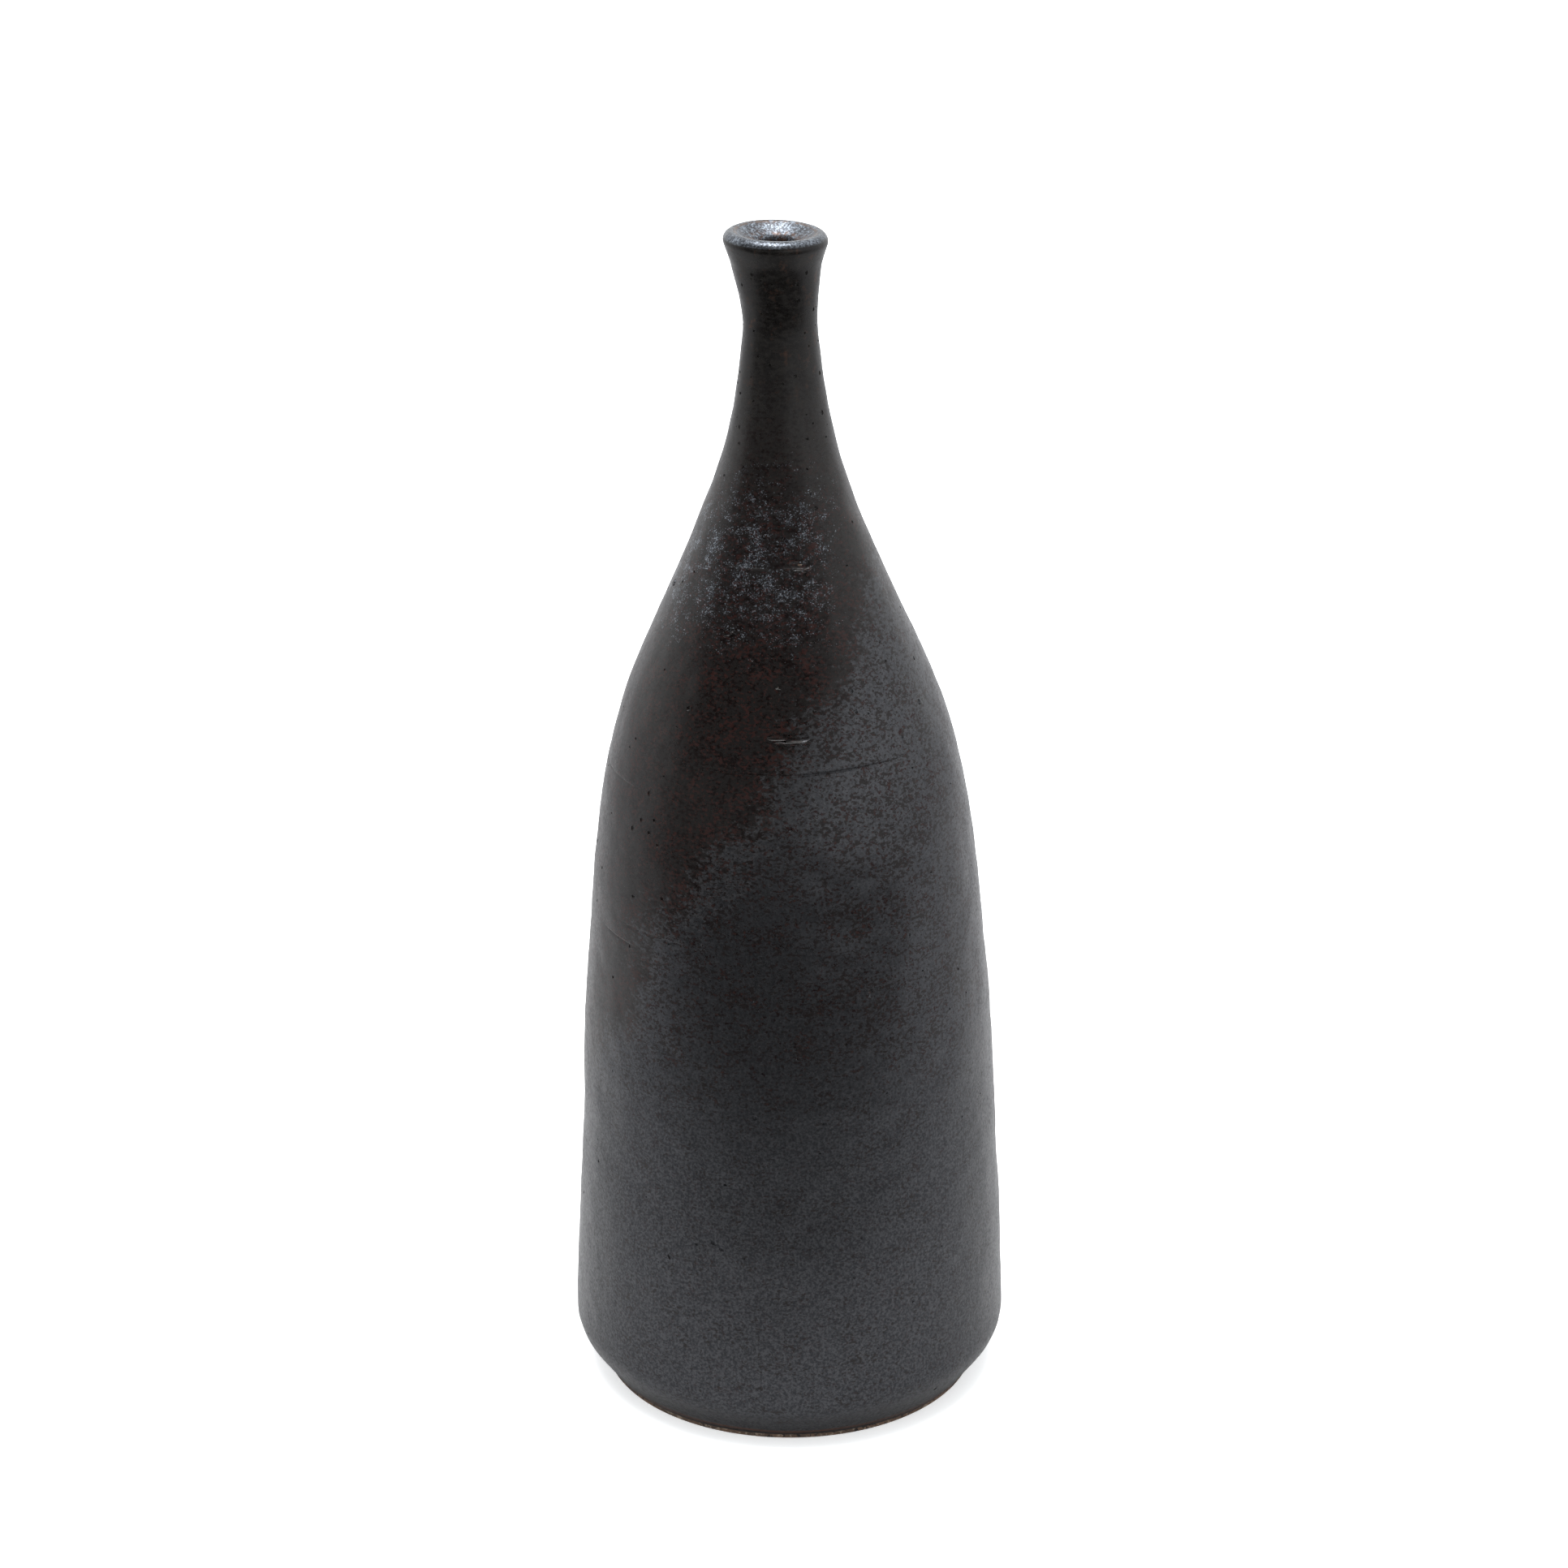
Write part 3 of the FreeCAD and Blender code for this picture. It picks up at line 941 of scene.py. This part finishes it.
def outside_material(looks):
    """Dark iron glaze, brown and mottled above, drawn down to a gunmetal skin below."""
    material, shader, nodes = new_material("gunmetal_iron_glaze")
    place = nodes.millimetres()
    axes = nodes.add("ShaderNodeSeparateXYZ", {"Vector": place}).outputs
    speckle = speckle_effect()

    # The thick glaze ran down to a slanting line, brown above it and grey below.
    drift = nodes.minus(nodes.noise(place, 26, 3.0, 0.55), 0.5)
    line = nodes.minus(axes["Z"], nodes.times(axes["X"], 1.5))
    line = nodes.plus(line, nodes.times(drift, 60))
    brown = nodes.mask(line, 120, 182)
    low = nodes.mask(axes["Z"], 110, 60)

    patches = nodes.noise(nodes.moved(place, scale=(1, 1, 1.5)), 1.7, 5.0, 0.7)
    patchy = nodes.plus(brown, nodes.times(nodes.minus(patches, 0.5), 1.8))
    patchy = nodes.mask(patchy, 0.3, 0.75)
    mottle = nodes.mask(nodes.noise(nodes.moved(place, (3, 3, 3)), 0.6, 4.0, 0.72), 0.38, 0.62)
    duller = nodes.mix(low, (0.042, 0.043, 0.047, 1.0), (0.027, 0.028, 0.031, 1.0))
    grey = nodes.mix(mottle, duller, tuple(looks.metal))
    base = nodes.mix(patchy, grey, (0.0058, 0.0048, 0.0046, 1.0))

    # Iron came out as dark maroon specks, crowded where the skin is thin.
    amount = nodes.mask(low, 0.0, 1.0, 0.41, 0.25)
    streaked = nodes.moved(place, scale=(0.75, 0.75, 1.15))
    dark = place_effect(
        nodes, speckle, position=streaked, size=0.75, amount=amount, clusters=0.35, softness=0.012
    )
    base = nodes.mix(nodes.times(dark["Mask"], 0.95), base, tuple(looks.iron))
    maroon = place_effect(
        nodes, speckle, position=nodes.moved(streaked, (31, 7, 3)), size=0.65,
        amount=nodes.mask(patchy, 0.0, 1.0, 0.25, 0.35), clusters=0.35, softness=0.03,
    )
    maroon_here = nodes.times(maroon["Mask"], nodes.mask(axes["Z"], 225, 195))
    maroon_here = nodes.times(maroon_here, nodes.mask(low, 0.0, 1.0, 1.0, 0.4))
    base = nodes.mix(nodes.times(maroon_here, 0.8), base, (0.017, 0.0054, 0.0043, 1.0))

    # Crystals on the front of the shoulder, with painted glints: their bright grey grain stands in for
    # the light caught by each crystal one by one.
    skin = place_effect(nodes, crystal_effect(), position=place, size=0.45, grain=0.5, peel=1.0)
    wide = nodes.noise(nodes.moved(place, (12, 0, 40), (1, 1, 1.8)), 6, 4.0)
    band = nodes.times(nodes.mask(axes["Z"], 170, 188), nodes.mask(axes["Z"], 222, 198))
    band = nodes.times(band, nodes.mask(axes["X"], 16, 2))
    amount = nodes.times(band, nodes.mask(wide, 0.38, 0.62, 0.18, 0.38))
    sparks = place_effect(
        nodes, speckle, position=nodes.moved(place, (5, 50, 9)), stretch=(1.0, 1.0, 1.3), size=0.32,
        amount=amount, clusters=0.5, softness=0.05,
    )
    spark = nodes.times(sparks["Mask"], nodes.mask(band, 0.0, 0.4))
    glint = nodes.mask(nodes.noise(place, 0.4, 2.0, 0.6), 0.42, 0.62)
    shine = nodes.mix(glint, (0.05, 0.056, 0.066, 1.0), (0.21, 0.23, 0.26, 1.0))
    base = nodes.mix(nodes.times(spark, 0.85), base, shine)

    # Heat broke the glaze to rust up the neck, where it ran thin, and at its lower edge.
    rust = nodes.mask(nodes.noise(place, 2.2, 4.0, 0.65), 0.55, 0.72)
    neck = nodes.mask(axes["Z"], 215, 240)
    base = nodes.mix(nodes.times(neck, 0.8), base, (0.0022, 0.0017, 0.0015, 1.0))
    smears = nodes.noise(nodes.moved(place, (0, 4, 0), (1, 1, 2.2)), 1.8, 5.0, 0.7)
    smears = nodes.times(nodes.mask(smears, 0.47, 0.66), nodes.mask(axes["Z"], 198, 215))
    base = nodes.mix(nodes.times(smears, 0.5), base, (0.024, 0.022, 0.020, 1.0))
    rusted = nodes.times(nodes.times(neck, rust), 0.6)
    base = nodes.mix(rusted, base, (0.030, 0.012, 0.006, 1.0))
    # The lip's crystal glitter, with painted highlight: it is made stronger towards the front, -Y,
    # where the lip catches the light overhead.
    glitter = nodes.mask(nodes.noise(place, 0.45, 3.0, 0.7), 0.4, 0.66)
    glitter = nodes.times(glitter, nodes.mask(axes["Y"], 3, -7, 0.3, 1.0))
    bright = nodes.mix(glitter, (0.045, 0.048, 0.055, 1.0), (0.21, 0.235, 0.27, 1.0))
    nod = nodes.times(axes["Y"], -0.059)
    lip = nodes.mask(nodes.plus(nodes.plus(axes["Z"], nod), drift), 258.7, 259.5)
    base = nodes.mix(lip, base, bright)
    ragged = nodes.plus(axes["Z"], nodes.times(drift, 1.0))
    edge = nodes.mask(ragged, 3.0, 2.4)
    base = nodes.mix(edge, base, (0.034, 0.012, 0.006, 1.0))
    # Painted shade: the bottom of the coat, just over the floor, is darkened to near black.
    base = nodes.mix(nodes.mask(ragged, 2.2, 1.8), base, (0.006, 0.0035, 0.0025, 1.0))
    nodes.wire(shader.inputs["Base Color"], base)

    metal = nodes.minus(0.9, nodes.times(patchy, 0.9))
    metal = nodes.times(metal, nodes.minus(1.0, dark["Mask"]))
    metal = nodes.plus(metal, nodes.times(lip, 0.9))
    metal = nodes.plus(metal, nodes.times(spark, 0.7))
    metal = nodes.plus(metal, nodes.times(smears, 0.5))
    metal = nodes.times(metal, nodes.minus(1.0, edge))
    metal = nodes.calculate("MINIMUM", nodes.calculate("MAXIMUM", metal, 0.0), 1.0)
    nodes.wire(shader.inputs["Metallic"], metal)
    rough = nodes.mask(skin["Facet"], 0.0, 1.0, 0.27, 0.38)
    rough = nodes.plus(rough, nodes.times(low, 0.08))
    nodes.wire(shader.inputs["Roughness"], rough)
    shader.inputs["IOR"].default_value = 1.5
    shader.inputs["Specular IOR Level"].default_value = 0.24
    grained = nodes.times(skin["Height"], nodes.mask(low, 0.0, 1.0, 0.55, 1.0))
    bump(nodes, shader, grained, 0.06)
    return material


def pit_material():
    """The glassy dark inside of a burst bubble; its near-black colour is partly painted shade, the
    shade down in the hole.
    """
    material, shader, nodes = new_material("pit_glass_and_painted_shade")
    place = nodes.millimetres()
    cloud = nodes.noise(place, 0.8, 3.0, 0.6)
    rusty = nodes.mask(cloud, 0.45, 0.7)
    # Painted shade in part: the near-black colour darkens the pit as shade in the hole would.
    base = nodes.mix(rusty, (0.002, 0.0014, 0.0012, 1.0), (0.014, 0.006, 0.004, 1.0))
    nodes.wire(shader.inputs["Base Color"], base)
    nodes.wire(shader.inputs["Roughness"], nodes.mask(cloud, 0.3, 0.7, 0.2, 0.4))
    shader.inputs["IOR"].default_value = 1.5
    shader.inputs["Specular IOR Level"].default_value = 0.1
    bump(nodes, shader, cloud, 0.05)
    return material


def burr_material():
    """Glaze pushed up along a drag, melted smooth and shiny, with painted highlight: near-white
    patches in its colour stand in for glints of the light overhead.
    """
    material, shader, nodes = new_material("burr_glaze_painted_highlight")
    place = nodes.millimetres()
    cloud = nodes.noise(place, 0.7, 4.0, 0.65)
    # Painted highlight: the near-white patches stand in for glints of the light overhead on the burr.
    base = nodes.mix(nodes.mask(cloud, 0.28, 0.42), (0.03, 0.022, 0.018, 1.0), (0.88, 0.87, 0.85, 1.0))
    nodes.wire(shader.inputs["Base Color"], base)
    nodes.wire(shader.inputs["Roughness"], nodes.mask(cloud, 0.3, 0.7, 0.14, 0.24))
    nodes.wire(shader.inputs["Metallic"], nodes.mask(cloud, 0.3, 0.5, 0.3, 0.65))
    shader.inputs["IOR"].default_value = 1.6
    bump(nodes, shader, cloud, 0.04)
    return material


def lining_material():
    """The same glaze inside: bright crystals in the dish of the mouth, rusty and darkened with painted
    shade down the throat.
    """
    material, shader, nodes = new_material("lining_glaze")
    place = nodes.millimetres()
    axes = nodes.add("ShaderNodeSeparateXYZ", {"Vector": place}).outputs
    skin = place_effect(nodes, crystal_effect(), position=place, size=0.5, grain=0.7, peel=1.0)
    specks = place_effect(
        nodes, speckle_effect(), position=place, size=0.8, amount=0.4, clusters=0.6, softness=0.04
    )
    glitter = nodes.mask(nodes.noise(place, 0.45, 3.0, 0.7), 0.42, 0.66)
    base = nodes.mix(glitter, (0.06, 0.065, 0.075, 1.0), (0.27, 0.31, 0.36, 1.0))
    base = nodes.mix(nodes.times(specks["Mask"], 0.6), base, (0.04, 0.03, 0.03, 1.0))
    # Down the throat the colour darkens: partly rust, partly painted shade of the hollow below.
    ragged = nodes.times(nodes.minus(nodes.noise(place, 2.5, 4.0, 0.65), 0.5), 5)
    slant = nodes.minus(axes["Z"], nodes.times(axes["X"], 0.22))
    throat = nodes.mask(nodes.plus(slant, ragged), 258.3, 256.6)
    base = nodes.mix(throat, base, (0.016, 0.007, 0.005, 1.0))
    rust = nodes.mask(nodes.noise(place, 1.4, 3.0, 0.6), 0.46, 0.62)
    rusty = nodes.times(rust, nodes.mask(axes["Z"], 259.4, 258.2))
    rusty = nodes.times(rusty, nodes.mask(axes["Z"], 250.0, 256.0))
    base = nodes.mix(nodes.times(rusty, 0.6), base, (0.10, 0.045, 0.02, 1.0))
    centred = nodes.moved(place, (LIP_SHIFT, 0, 0), (1, 1, 0))
    spread = nodes.add("ShaderNodeVectorMath", {0: centred}, operation="LENGTH").outputs["Value"]
    ring = nodes.times(nodes.mask(spread, 7.9, 8.3), nodes.mask(spread, 8.95, 8.6))
    ring = nodes.times(ring, nodes.mask(nodes.noise(place, 1.6, 3.0, 0.6), 0.36, 0.56))
    base = nodes.mix(nodes.times(ring, 0.6), base, (0.13, 0.085, 0.06, 1.0))
    nodes.wire(shader.inputs["Base Color"], base)
    nodes.wire(shader.inputs["Metallic"], nodes.mask(throat, 0.0, 1.0, 0.8, 0.2))
    nodes.wire(shader.inputs["Roughness"], nodes.mask(skin["Facet"], 0.0, 1.0, 0.34, 0.5))
    shader.inputs["IOR"].default_value = 1.6
    bump(nodes, shader, skin["Height"], 0.07)
    return material


def clay_material(looks):
    """Bare iron-rich stoneware: gritty, dark and dry."""
    material, shader, nodes = new_material("bare_stoneware")
    place = nodes.millimetres()
    cloud = nodes.noise(place, 6, 4.0, 0.6)
    pale = (looks.clay[0] * 1.9, looks.clay[1] * 1.9, looks.clay[2] * 1.9, 1.0)
    base = nodes.mix(nodes.mask(cloud, 0.35, 0.65), tuple(looks.clay), pale)
    grit = place_effect(
        nodes, speckle_effect(), position=place, size=0.7, amount=0.33, clusters=0.3, softness=0.03
    )
    base = nodes.mix(nodes.times(grit["Mask"], 0.7), base, (0.19, 0.15, 0.11, 1.0))
    iron = place_effect(
        nodes, speckle_effect(), position=nodes.moved(place, (9, 4, 20)), size=0.9, amount=0.3,
        clusters=0.5, softness=0.02,
    )
    base = nodes.mix(iron["Mask"], base, (0.012, 0.007, 0.005, 1.0))
    nodes.wire(shader.inputs["Base Color"], base)
    nodes.wire(shader.inputs["Roughness"], nodes.mask(cloud, 0.3, 0.7, 0.72, 0.9))
    grain = nodes.noise(place, 0.5, 4.0, 0.7)
    rings = nodes.add(
        "ShaderNodeTexWave", {"Vector": place, "Scale": 0.42, "Distortion": 1.2, "Detail": 2.0},
        wave_type="RINGS", rings_direction="Z",
    ).outputs["Fac"]
    height = nodes.plus(grain, nodes.times(rings, 0.25))
    bump(nodes, shader, height, 0.22)
    return material


def floor_material():
    """Matt white paper."""
    material, shader, nodes = new_material("white_paper")
    place = nodes.add("ShaderNodeTexCoord", {}).outputs["Object"]
    cloud = nodes.noise(place, 0.25, 2.0)
    base = nodes.mix(cloud, (0.88, 0.88, 0.885, 1.0), (0.91, 0.91, 0.91, 1.0))
    nodes.wire(shader.inputs["Base Color"], base)
    shader.inputs["Roughness"].default_value = 0.85
    shader.inputs["Specular IOR Level"].default_value = 0.2
    shader.inputs["Emission Color"].default_value = (0.97, 0.99, 1.0, 1.0)
    shader.inputs["Emission Strength"].default_value = 0.42
    return material


def cloth_material():
    """Cloth that is pale by the vase, grey further off and black in front of it."""
    material, shader, nodes = new_material("studio_cloth")
    place = nodes.add("ShaderNodeTexCoord", {}).outputs["Object"]
    axes = nodes.add("ShaderNodeSeparateXYZ", {"Vector": place}).outputs
    away = nodes.add("ShaderNodeVectorMath", {0: place}, operation="LENGTH").outputs["Value"]
    base = nodes.mix(nodes.mask(away, *CLOTH_GREYS), (0.66, 0.66, 0.665, 1.0), (0.46, 0.46, 0.47, 1.0))
    front = nodes.mask(axes["Y"], *CLOTH_BLACKENS)
    front = nodes.times(front, nodes.mask(axes["X"], *CLOTH_ENDS))
    base = nodes.mix(front, base, (0.012, 0.011, 0.010, 1.0))
    nodes.wire(shader.inputs["Base Color"], base)
    shader.inputs["Roughness"].default_value = 1.0
    shader.inputs["Specular IOR Level"].default_value = 0.0
    return material


# ---------------------------------------------------------------- the studio

FLOOR_RADIUS = 5.8
TOP_LIGHT_FROM = (-0.05, 0.04, 1.0)
TOP_LIGHT_SPREAD = 40  # degrees across the sky
DARK_SIDE = (0.12, 0.5)  # how squarely a direction faces -Y where the tent starts to open, and is open
DARK_FOOT = (-0.04, 0.12)  # where the open side begins, as the sine of its elevation
DARK_FOOT_SLOPE = 0.55  # how far that edge climbs towards +X
DARK_TOP = (0.67, 0.88)  # how high the open side of the tent reaches, as the sine of its elevation
CLOTH_RADIUS = 5.7
CLOTH_GREYS = (0.1, 0.35)  # how far from the vase the cloth starts to turn grey, and is grey
CLOTH_BLACKENS = (-0.07, -0.25)  # where along Y it starts to turn black, and is black
CLOTH_ENDS = (1.3, 1.0)  # where along X the black part ends, and where it is still whole


def tent(strength):
    """A white tent all round, open on the side of the camera to a dark room that only the glaze
    sees."""
    world = bpy.context.scene.world or bpy.data.worlds.new("tent")
    bpy.context.scene.world = world
    world.use_nodes = True
    nodes = Nodes(world.node_tree)
    background = world.node_tree.nodes["Background"]
    toward = nodes.add("ShaderNodeTexCoord", {}).outputs["Generated"]
    axes = nodes.add("ShaderNodeSeparateXYZ", {"Vector": toward}).outputs
    level = nodes.calculate("SQRT", nodes.minus(1.001, nodes.times(axes["Z"], axes["Z"])))
    facing = nodes.plus(
        nodes.times(axes["X"], -0.17), nodes.times(axes["Y"], -0.98)
    )
    aside = nodes.mask(nodes.calculate("DIVIDE", facing, level), *DARK_SIDE)
    under = nodes.mask(axes["Z"], *DARK_TOP, 1.0, 0.0)
    climb = nodes.times(nodes.calculate("MAXIMUM", axes["X"], 0.0), DARK_FOOT_SLOPE)
    slanting = nodes.minus(axes["Z"], climb)
    above = nodes.mask(slanting, *DARK_FOOT)
    seen = nodes.add("ShaderNodeLightPath", {}).outputs["Is Glossy Ray"]
    dark = nodes.times(nodes.times(aside, under), nodes.times(above, seen))
    colour = nodes.mix(dark, (0.985, 0.995, 1.0, 1.0), (0.02, 0.018, 0.016, 1.0))
    nodes.wire(background.inputs["Color"], colour)
    background.inputs["Strength"].default_value = strength


def studio_cloth(floor_height):
    """The cloth lies just over the floor, and only the glaze reflects it."""
    bpy.ops.mesh.primitive_circle_add(
        vertices=96, radius=CLOTH_RADIUS, fill_type="NGON", location=(0, 0, floor_height + 0.0005)
    )
    cloth = bpy.context.object
    cloth.name = "studio_cloth"
    bpy.ops.object.transform_apply(location=True)
    cloth.data.materials.append(cloth_material())
    cloth.visible_camera = False
    cloth.visible_diffuse = False
    cloth.visible_shadow = False


class VASE_OT_stage(bpy.types.Operator):
    """Set out the white floor, the cloth, the light tent, the light overhead and the camera"""

    bl_idname = "vase.stage"
    bl_label = "Stage"

    def execute(self, context):
        stage = context.scene.vase_stage
        clear_selection()
        bpy.ops.mesh.primitive_circle_add(
            vertices=96, radius=FLOOR_RADIUS, fill_type="NGON", location=(0, 0, CAD_BOX[0].z)
        )
        floor = context.object
        floor.name = "floor"
        bpy.ops.object.transform_apply(location=True)
        floor.data.materials.append(floor_material())
        tent(stage.sky)
        studio_cloth(CAD_BOX[0].z)
        bpy.ops.object.light_add(type="SUN", location=TOP_LIGHT_FROM)
        overhead = context.object
        overhead.name = "overhead_light"
        overhead.data.angle = math.radians(TOP_LIGHT_SPREAD)
        overhead.data.energy = stage.top_light
        overhead.rotation_euler = Vector(TOP_LIGHT_FROM).to_track_quat("Z", "Y").to_euler()
        bpy.ops.object.camera_add(
            location=(0, -stage.distance, stage.height),
            rotation=(math.pi / 2 - stage.pitch, 0, stage.pan),
        )
        camera = context.object
        camera.data.lens = stage.lens
        camera.data.sensor_width = 36
        camera.data.clip_start = 0.01
        context.scene.camera = camera
        context.scene.view_settings.view_transform = "Standard"
        return {"FINISHED"}


# ---------------------------------------------------------------- the add-on


class VASE_PT_panel(bpy.types.Panel):
    """Lists the pieces of the vase in the sidebar"""

    bl_idname = "VASE_PT_panel"
    bl_label = "Bottle Vase"
    bl_space_type = "VIEW_3D"
    bl_region_type = "UI"
    bl_category = "Bottle Vase"

    def draw(self, context):
        for operator in OPERATORS:
            self.layout.operator(operator.bl_idname)
        for settings in (context.scene.vase_shape, context.scene.vase_glaze, context.scene.vase_stage):
            box = self.layout.box()
            for name in settings.bl_rna.properties.keys():
                if name not in ("rna_type", "name"):
                    box.prop(settings, name)


OPERATORS = (VASE_OT_stage, VASE_OT_clay_body, VASE_OT_outer_glaze, VASE_OT_inner_glaze)
CLASSES = (VaseShape, VaseGlaze, VaseStage, VASE_PT_panel, *OPERATORS)


def register():
    for cls in CLASSES:
        bpy.utils.register_class(cls)
    bpy.types.Scene.vase_shape = bpy.props.PointerProperty(type=VaseShape)
    bpy.types.Scene.vase_glaze = bpy.props.PointerProperty(type=VaseGlaze)
    bpy.types.Scene.vase_stage = bpy.props.PointerProperty(type=VaseStage)


def unregister():
    del bpy.types.Scene.vase_stage
    del bpy.types.Scene.vase_glaze
    del bpy.types.Scene.vase_shape
    for cls in reversed(CLASSES):
        bpy.utils.unregister_class(cls)


def main():
    register()
    bpy.ops.vase.stage()
    bpy.ops.vase.clay_body()
    bpy.ops.vase.outer_glaze()
    bpy.ops.vase.inner_glaze()


if __name__ == "__main__":
    main()
